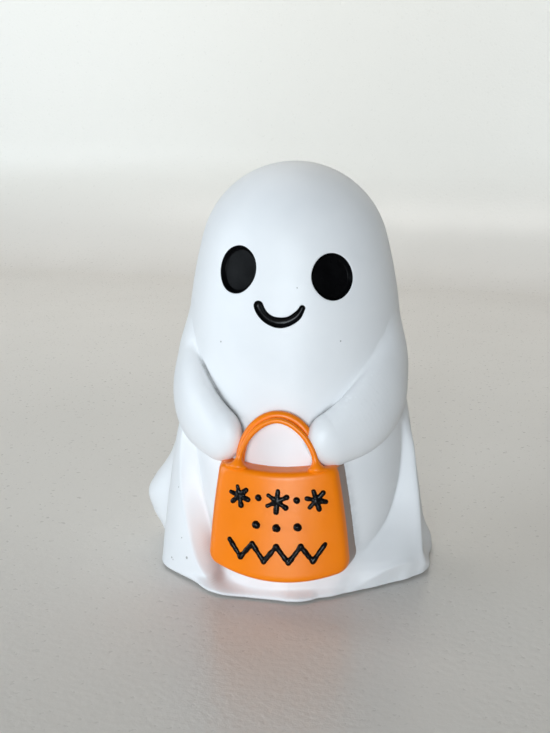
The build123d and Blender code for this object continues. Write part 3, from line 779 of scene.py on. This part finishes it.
def side_shade(P):
    """Share of painted shade on the bag's side that turns away from the light."""
    n = gradient(bag_sdf, P)
    n /= np.maximum(np.linalg.norm(n, axis=1), 1e-9)[:, None]
    deep = BAG_TOP_OUT + BAG_SLOPE * (BAG_TOP_Z - P[:, 2]) - np.hypot(P[:, 0], P[:, 1])
    return step(0.62, 0.86, n[:, 0]) * step(1.5, 2.3, deep) * step(7.5, 11.0, P[:, 2])


def arms_sdf(P):
    f = np.full(len(P), 9.0)
    for a in ARMS.values():
        lo, hi = a.box()
        near = ((P > lo) & (P < hi)).all(1)
        if near.any():
            f[near] = np.minimum(f[near], a.tube(P[near])[0])
    return f


def arch(wide, high, power):
    """Points of an arch in its own plane, from one foot to the other, with a short leg under each."""
    t = np.linspace(0, np.pi, 49)
    x = wide * np.sign(np.cos(t)) * np.abs(np.cos(t)) ** (2 / power)
    y = high * np.abs(np.sin(t)) ** (2 / power)
    return np.concatenate([[[wide, -3.0]], np.stack([x, y], -1), [[-wide, -3.0]]])


FRONT_ARCH, REAR_ARCH = arch(10.9, 13.2, 1.78), arch(10.7, 13.85, 2.0)


def loop_sdf(P, path, foot_y, top_y, foot_z, thick, flare):
    """Distance to a loop handle that leans from foot_y to top_y, thicker towards its feet."""
    up = np.array([0, top_y - foot_y, path[:, 1].max()])
    up /= np.linalg.norm(up)
    rel = P - np.array([LOOP_X, foot_y, foot_z])
    x = rel[:, 0]
    y = rel @ up
    z = rel @ np.cross([1, 0, 0], up)
    best = np.full(len(P), 1e9)
    for (ax, ay), (bx, by) in zip(path, path[1:]):
        dx, dy = bx - ax, by - ay
        t = np.clip(((x - ax) * dx + (y - ay) * dy) / (dx * dx + dy * dy), 0, 1)
        best = np.minimum(best, (x - ax - t * dx) ** 2 + (y - ay - t * dy) ** 2)
    return np.sqrt(best + z * z) - thick - flare * step(3.6, -0.5, y)


def front_loop(P):
    return loop_sdf(P, FRONT_ARCH, -38.3, -37.4, 38.0, 0.78, 0.25)


def rear_loop(P):
    return loop_sdf(P, REAR_ARCH, -35.9, -34.9, 38.2, 1.28, 0.0)


def bag_piece(P):
    return np.maximum(np.maximum(bag_sdf(P), -(body_sdf(P) + 0.3)), -(arms_sdf(P) + 0.12))


def front_handle_piece(P):
    bag = bag_sdf(P)
    f = front_loop(P)
    k = 0.2 + 3.4 * step(36.9, 38.4, P[:, 2])
    g = smin(f, bag + 0.05, k)
    g = np.maximum(np.maximum(g, -(bag + 0.35)), f - k - 0.2)
    return np.maximum(np.maximum(g, -(body_sdf(P) + 0.2)), -(arms_sdf(P) + 0.1))


def rear_handle_piece(P):
    f = np.maximum(rear_loop(P), -(bag_sdf(P) + 0.25))
    f = np.maximum(f, -(front_loop(P) + 0.12))
    return np.maximum(np.maximum(f, -(body_sdf(P) + 0.25)), -(arms_sdf(P) + 0.1))


# -------------------------------------------------------------------- marks
def on_bag(x, z, sink=0.16):
    r = BAG_TOP_OUT + BAG_SLOPE * (BAG_TOP_Z - z) - sink
    return np.array([x, -math.sqrt(r * r - x * x), z])


STROKES = []
for sx, sz, size, turn in [(-10.1, 30.4, 2.6, 12), (0.5, 29.6, 2.9, -4), (11.1, 30.0, 2.6, 18)]:
    for k in range(3):
        a = math.radians(90 + turn + 60 * k)
        dx, dz = size * math.cos(a), size * math.sin(a)
        STROKES.append(((sx - dx, sz - dz), (sx + dx, sz + dz), 0.80, 0.66))
for sx, sz in [(-4.7, 30.4), (5.8, 30.1)]:
    STROKES.append(((sx, sz), (sx + 0.1, sz - 0.15), 0.98, 0.9))
for sx, sz in [(-5.2, 22.9), (0.5, 22.3), (6.2, 22.7)]:
    STROKES.append(((sx, sz), (sx + 0.15, sz - 0.1), 1.15, 1.1))
ZIG = [(-12.7, 18.0), (-9.5, 13.6), (-6.2, 17.6), (-2.9, 12.9), (0.5, 17.2), (3.9, 12.8), (7.2, 17.4), (10.5, 13.2), (13.7, 17.8)]
for p, q in zip(ZIG, ZIG[1:]):
    STROKES.append((p, q, 0.82, 0.70))


def marks_sdf(P):
    f = np.full(len(P), 9.0)
    for (p, q, r0, r1) in STROKES:
        a, b = on_bag(*p), on_bag(*q)
        lo, hi = np.minimum(a, b) - 3, np.maximum(a, b) + 3
        near = ((P > lo) & (P < hi)).all(1)
        if not near.any():
            continue
        d = b - a
        rel = P[near] - a
        t = np.clip((rel @ d) / (d @ d), 0, 1)
        m = np.linalg.norm(rel - t[:, None] * d, axis=1)
        wob = 0.05 * np.sin(t * 9 + p[0] * 3.1) + 0.04 * np.sin(t * 17 + p[1] * 2.3)
        f[near] = smin(f[near], m - (r0 + (r1 - r0) * t + wob), 0.35)
    return np.maximum(f, -(bag_sdf(P) + 0.28))


# --------------------------------------------------------------------- pads
def pads_mesh(name):
    verts, quads, tris = [], [], []
    off = 0
    for n, c in enumerate(PADS):
        r = np.random.default_rng(30 + n)
        cols = 96
        th = np.linspace(0, 2 * np.pi, cols, endpoint=False)
        edge = PAD_R * (1 + sum(r.normal(0, 0.006) * np.sin(k * th + r.uniform(0, 6.28)) for k in range(2, 9)))
        prof = [(0.25, 0.0), (0.6, 0.0), (0.9, 0.0), (0.98, 0.06), (1.0, 0.18), (1.0, 0.75), (0.98, 0.92), (0.9, 1.0), (0.4, 1.0)]
        rows = [np.stack([c[0] + edge * k * np.cos(th), c[1] + edge * k * np.sin(th), np.full(cols, z)], -1) for k, z in prof]
        v = np.concatenate(rows + [np.array([[c[0], c[1], 0.0], [c[0], c[1], 1.0]])])
        f = grid_faces(len(prof), cols, True)
        j = np.arange(cols)
        k = (j + 1) % cols
        a, b = len(v) - 2, len(v) - 1
        tris += [np.stack([np.full(cols, a), k, j], -1) + off, np.stack([np.full(cols, b), (len(prof) - 1) * cols + j, (len(prof) - 1) * cols + k], -1) + off]
        quads.append(f + off)
        verts.append(v)
        off += len(v)
    return make(name, np.concatenate(verts), [np.concatenate(quads), np.concatenate(tris)], tidy=True)


# ------------------------------------------------------------------- pieces
pieces = {}
pieces["body_shell"] = body_mesh("body_shell_look")
for name, arm in ARMS.items():
    pieces[name] = arm.mesh(name + "_look")
for name, f, lo, hi, h in (
        ("treat_bag", bag_piece, (-21.5, -47, 5.5), (23, -22, 41.5), 0.42),
        ("bag_front_handle", front_handle_piece, (-18, -44, 32), (18, -33, 55), 0.30),
        ("bag_rear_handle", rear_handle_piece, (-17, -39.5, 34), (17, -29, 55), 0.30),
        ("bag_marks", marks_sdf, (-15, -47.5, 11), (16.5, -36, 35), 0.20)):
    v, q = used(*surface(f, lo, hi, h))
    pieces[name] = make(name + "_look", v, [q])
    if name == "treat_bag":
        # painted shade on the bag's right side, which turns away from the light
        stain(pieces[name], side_shade(v), "painted_shade")
for name, eye in EYES.items():
    pieces[name] = eye.film(name + "_look")
pieces["smile"] = smile_film("smile_look")
pieces["felt_pads"] = pads_mesh("felt_pads_look")


# ---------------------------------------------------------------- materials
class Nodes:
    def __init__(self, name):
        self.m = bpy.data.materials.new(name)
        self.m.use_nodes = True
        self.t = self.m.node_tree
        self.b = next(n for n in self.t.nodes if n.type == "BSDF_PRINCIPLED")
        self.pos = self.t.nodes.new("ShaderNodeTexCoord").outputs["Object"]

    def node(self, kind, **sets):
        n = self.t.nodes.new(kind)
        for k, v in sets.items():
            setattr(n, k, v)
        return n

    def link(self, a, b):
        self.t.links.new(a, b)

    def math(self, op, a, b=None, c=None, clamp=False):
        n = self.node("ShaderNodeMath", operation=op, use_clamp=clamp)
        for i, v in enumerate((a, b, c)):
            if v is None:
                continue
            if isinstance(v, (int, float)):
                n.inputs[i].default_value = v
            else:
                self.link(v, n.inputs[i])
        return n.outputs[0]

    def noise(self, scale, detail=4.0, rough=0.55, stretch=None, distort=0.0):
        n = self.node("ShaderNodeTexNoise")
        n.inputs["Scale"].default_value = scale
        n.inputs["Detail"].default_value = detail
        n.inputs["Roughness"].default_value = rough
        n.inputs["Distortion"].default_value = distort
        src = self.pos
        if stretch:
            mp = self.node("ShaderNodeMapping")
            mp.inputs["Scale"].default_value = stretch
            self.link(self.pos, mp.inputs["Vector"])
            src = mp.outputs["Vector"]
        self.link(src, n.inputs["Vector"])
        return n.outputs["Fac"]

    def ramp(self, fac, stops):
        n = self.node("ShaderNodeValToRGB")
        el = n.color_ramp.elements
        while len(el) < len(stops):
            el.new(0.5)
        for e, (p, c) in zip(el, stops):
            e.position = p
            e.color = (*c, 1) if len(c) == 3 else c
        self.link(fac, n.inputs["Fac"])
        return n.outputs["Color"]

    def span(self, fac, a, b, c, d):
        n = self.node("ShaderNodeMapRange")
        for k, v in zip(("From Min", "From Max", "To Min", "To Max"), (a, b, c, d)):
            n.inputs[k].default_value = v
        self.link(fac, n.inputs["Value"])
        return n.outputs["Result"]

    def mix(self, fac, a, b, mode="MIX"):
        n = self.node("ShaderNodeMix", data_type="RGBA", blend_type=mode)
        ins = [s for s in n.inputs if s.enabled]
        f, A, B = ins[0], ins[1], ins[2]
        for s, v in ((f, fac), (A, a), (B, b)):
            if isinstance(v, (int, float)):
                s.default_value = v
            elif isinstance(v, tuple):
                s.default_value = (*v, 1) if len(v) == 3 else v
            else:
                self.link(v, s)
        return next(o for o in n.outputs if o.enabled)

    def bump(self, height, strength, dist, normal=None):
        n = self.node("ShaderNodeBump")
        n.inputs["Strength"].default_value = strength
        n.inputs["Distance"].default_value = dist
        self.link(height, n.inputs["Height"])
        if normal is not None:
            self.link(normal, n.inputs["Normal"])
        return n.outputs["Normal"]

    def dist(self, p):
        n = self.node("ShaderNodeVectorMath", operation="DISTANCE")
        self.link(self.pos, n.inputs[0])
        n.inputs[1].default_value = tuple(p)
        return n.outputs["Value"]


def on_skin(phi, z, lift=0.0):
    r = float(skin(np.array([phi]), np.array([z]))[0]) + lift
    return (at(phi, z, r) + AXIS) * 0.001


PINHOLES = [(-33.5, 70.6, 0.24), (30.5, 71.8, 0.22), (-43.2, 6.8, 0.42), (-53.0, 4.8, 0.30), (-52.0, 4.4, 0.22), (-54, 26.0, 0.2),
            (150, 60.0, 0.25), (-120, 84.0, 0.25), (88, 92.0, 0.2), (-170, 30.0, 0.25), (-47.5, 12.0, 0.2), (120, 22.0, 0.25)]


def white(name):
    k = Nodes(name)
    tone = k.noise(38.0, 3.0, 0.5)
    col = k.ramp(tone, [(0.30, (0.80, 0.81, 0.825)), (0.55, (0.845, 0.85, 0.86)), (0.8, (0.825, 0.835, 0.85))])
    vor = k.node("ShaderNodeTexVoronoi", feature="F1")
    vor.inputs["Scale"].default_value = 150.0
    k.link(k.pos, vor.inputs["Vector"])
    sep = k.node("ShaderNodeSeparateColor")
    k.link(vor.outputs["Color"], sep.inputs["Color"])
    rare = k.math("GREATER_THAN", sep.outputs[0], 0.955)
    dot = k.math("LESS_THAN", vor.outputs["Distance"], 0.032)
    speck = k.math("MULTIPLY", rare, dot)
    holes = None
    for phi, z, r in PINHOLES:
        d = k.span(k.dist(on_skin(phi, z)), r * 0.0006, r * 0.0013, 1.0, 0.0)
        holes = d if holes is None else k.math("MAXIMUM", holes, d)
    mark = k.math("MAXIMUM", k.math("MULTIPLY", speck, 0.55), k.math("MULTIPLY", holes, 0.7), clamp=True)
    col = k.mix(mark, col, (0.20, 0.185, 0.165))
    # painted shadow: darker colour in the open crack beside an arm, where shade falls, and in the strip where the bag's
    # shadow falls on the body
    shadow_paint = k.node("ShaderNodeAttribute", attribute_name="painted_shadow").outputs["Fac"]
    shadow_paint = k.math("MULTIPLY", shadow_paint, k.span(k.noise(420.0, 3.0), 0.32, 0.62, 0.55, 1.0), clamp=True)
    col = k.mix(k.math("MULTIPLY", shadow_paint, 0.8), col, (0.16, 0.155, 0.15))
    # painted shade, tinted with painted orange bounce light from the bag, in the channel beside it
    painted_shade = k.node("ShaderNodeAttribute", attribute_name="painted_shade").outputs["Fac"]
    painted_shade = k.math("MULTIPLY", painted_shade, k.span(k.noise(130.0, 4.0, 0.6, stretch=(1.0, 1.0, 0.3)), 0.3, 0.7, 0.72, 1.0), clamp=True)
    col = k.mix(k.math("MULTIPLY", painted_shade, 0.92), col, (0.38, 0.235, 0.20))
    k.link(col, k.b.inputs["Base Color"])
    k.link(k.span(k.noise(260.0, 2.0), 0.3, 0.7, 0.40, 0.50), k.b.inputs["Roughness"])
    n = k.bump(k.noise(70.0, 2.0, 0.5), 0.22, 0.0006)
    n = k.bump(k.noise(900.0, 2.0, 0.6), 0.10, 0.00008, n)
    n = k.bump(k.math("SUBTRACT", 1.0, mark), 0.5, 0.0003, n)
    k.link(n, k.b.inputs["Normal"])
    k.b.inputs["Specular IOR Level"].default_value = 0.45
    k.b.inputs["Subsurface Weight"].default_value = 0.0
    return k.m


def orange(name):
    k = Nodes(name)
    brush = k.noise(90.0, 3.0, 0.55, stretch=(1.0, 1.0, 0.35))
    col = k.ramp(brush, [(0.25, (0.93, 0.215, 0.0005)), (0.55, (0.98, 0.232, 0.0006)), (0.8, (0.99, 0.248, 0.0008))])
    # painted shade on the bag's right side, which turns away from the light
    painted_shade = k.node("ShaderNodeAttribute", attribute_name="painted_shade").outputs["Fac"]
    col = k.mix(k.math("MULTIPLY", painted_shade, 0.94), col, (0.30, 0.225, 0.18))
    k.link(col, k.b.inputs["Base Color"])
    k.link(k.span(k.noise(180.0, 3.0), 0.3, 0.7, 0.30, 0.40), k.b.inputs["Roughness"])
    n = k.bump(k.noise(120.0, 2.0, 0.5, stretch=(1.0, 1.0, 0.5)), 0.25, 0.0004)
    k.link(n, k.b.inputs["Normal"])
    k.b.inputs["Specular IOR Level"].default_value = 0.38
    return k.m


def black(name, gloss=0.15):
    k = Nodes(name)
    col = k.ramp(k.noise(160.0, 3.0, 0.6), [(0.3, (0.0015, 0.0015, 0.0018)), (0.7, (0.004, 0.004, 0.0045))])
    k.link(col, k.b.inputs["Base Color"])
    k.link(k.span(k.noise(220.0, 3.0), 0.3, 0.7, 0.20, 0.34), k.b.inputs["Roughness"])
    n = k.bump(k.noise(240.0, 2.0, 0.5, stretch=(1.0, 1.0, 0.45)), 0.3, 0.00025)
    k.link(n, k.b.inputs["Normal"])
    k.b.inputs["Specular IOR Level"].default_value = gloss
    return k.m


def felt(name):
    k = Nodes(name)
    fib = k.noise(1500.0, 4.0, 0.7, distort=1.5)
    col = k.ramp(fib, [(0.3, (0.030, 0.030, 0.032)), (0.7, (0.085, 0.085, 0.090))])
    k.link(col, k.b.inputs["Base Color"])
    k.b.inputs["Roughness"].default_value = 0.95
    k.b.inputs["Sheen Weight"].default_value = 0.4
    k.b.inputs["Sheen Roughness"].default_value = 0.5
    k.link(k.bump(fib, 0.6, 0.0003), k.b.inputs["Normal"])
    return k.m


MATS = {"white_glaze": white("white_glaze_look"), "orange_glaze": orange("orange_glaze_look"),
        "black_enamel": black("black_enamel_look"), "felt": felt("felt_look")}
SLOT = {"body_shell": "white_glaze", "right_arm": "white_glaze", "left_arm": "white_glaze", "treat_bag": "orange_glaze",
        "bag_front_handle": "orange_glaze", "bag_rear_handle": "orange_glaze", "bag_marks": "black_enamel",
        "right_eye": "black_enamel", "left_eye": "black_enamel", "smile": "black_enamel", "felt_pads": "felt"}
EYE_MAT = black("eye_enamel_look", 0.045)
for node, o in pieces.items():
    o.data.materials.append(EYE_MAT if node.endswith("_eye") else MATS[SLOT[node]])
    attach(o, "root")
    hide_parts(node)


# ------------------------------------------------------- stage, light, camera
def sweep_floor():
    """A pale floor that turns up into a plain back."""
    w, near, far, rad, tall = 3.4, -1.9, 0.58, 0.12, 1.7
    prof = [(near + (far - near) * t, 0.0) for t in np.linspace(0, 1, 30)]
    prof += [(far + rad * math.sin(a), rad * (1 - math.cos(a))) for a in np.radians(np.linspace(4, 90, 20))]
    prof += [(far + rad, rad + (tall - rad) * t) for t in np.linspace(0.02, 1, 10)]
    cols = 9
    c, q = math.cos(math.radians(-12.0)), math.sin(math.radians(-12.0))
    v = np.array([[c * x - q * y, q * x + c * y, z] for y, z in prof for x in np.linspace(-w / 2, w / 2, cols)])
    v[:, 2] -= 0.00004
    o = make("floor", v * 1000 - AXIS, [grid_faces(len(prof), cols, False)])
    k = Nodes("floor_look")
    grain = k.noise(420.0, 4.0, 0.6)
    col = k.ramp(k.noise(9.0, 2.0), [(0.3, (0.70, 0.665, 0.625)), (0.7, (0.735, 0.70, 0.66))])
    sep = k.node("ShaderNodeSeparateXYZ")
    k.link(k.pos, sep.inputs[0])
    col = k.mix(k.span(sep.outputs[2], 0.0, 0.09, 0.0, 1.0), col, (0.84, 0.82, 0.77))
    k.link(col, k.b.inputs["Base Color"])
    k.link(k.span(grain, 0.3, 0.7, 0.26, 0.36), k.b.inputs["Roughness"])
    k.link(k.bump(grain, 0.3, 0.0005), k.b.inputs["Normal"])
    k.b.inputs["Specular IOR Level"].default_value = 0.45
    o.data.materials.append(k.m)
    return o


sweep_floor()


def area(name, place, aim, size, power, colour, size_y=None):
    L = bpy.data.lights.new(name, "AREA")
    L.shape = "RECTANGLE"
    L.size, L.size_y = size, size_y or size
    L.energy, L.color = power, colour
    o = bpy.data.objects.new(name, L)
    o.location = place
    o.rotation_mode = "QUATERNION"
    o.rotation_quaternion = (Vector(aim) - Vector(place)).to_track_quat("-Z", "Y")
    bpy.context.scene.collection.objects.link(o)
    return o


def around(az, el, far):
    a, e = math.radians(az), math.radians(el)
    return (far * math.sin(a) * math.cos(e), -far * math.cos(a) * math.cos(e), 0.06 + far * math.sin(e))


area("key", around(1, 9, 1.5), (0, 0, 0.06), 0.55, 16.6, (0.84, 0.93, 1.0), 0.5)
area("side", around(-75, 10, 1.5), (0, 0, 0.06), 1.2, 10.4, (0.80, 0.91, 1.0), 0.6)
area("wall_light", (-0.25, 0.30, 0.95), (0.0, 1.1, 0.35), 0.9, 4.6, (1.0, 0.985, 0.95), 0.4)

world = bpy.data.worlds.new("studio")
bpy.context.scene.world = world
world.use_nodes = True
bg = next(n for n in world.node_tree.nodes if n.type == "BACKGROUND")
bg.inputs["Color"].default_value = (1.0, 0.97, 0.91, 1)
bg.inputs["Strength"].default_value = 0.06

AZ, PITCH, YAW = math.radians(7.0), math.radians(12.0), math.atan(20.0 / 1100.0)
BACK, UP = 0.3276, 0.1280
axis_m = Vector((AXIS[0] * 0.001, AXIS[1] * 0.001, 0.0))
cam_d = bpy.data.cameras.new("camera")
cam_d.sensor_width = 36.0
cam_d.lens = 1100.0 / 733.0 * 36.0
cam_d.clip_start, cam_d.clip_end = 0.01, 50.0
cam = bpy.data.objects.new("camera", cam_d)
cam.location = axis_m + Vector((math.sin(AZ) * BACK, -math.cos(AZ) * BACK, UP))
cam.rotation_euler = (math.pi / 2 - PITCH, 0.0, AZ + YAW)
bpy.context.scene.collection.objects.link(cam)
bpy.context.scene.camera = cam
bpy.context.scene.view_settings.view_transform = "Standard"
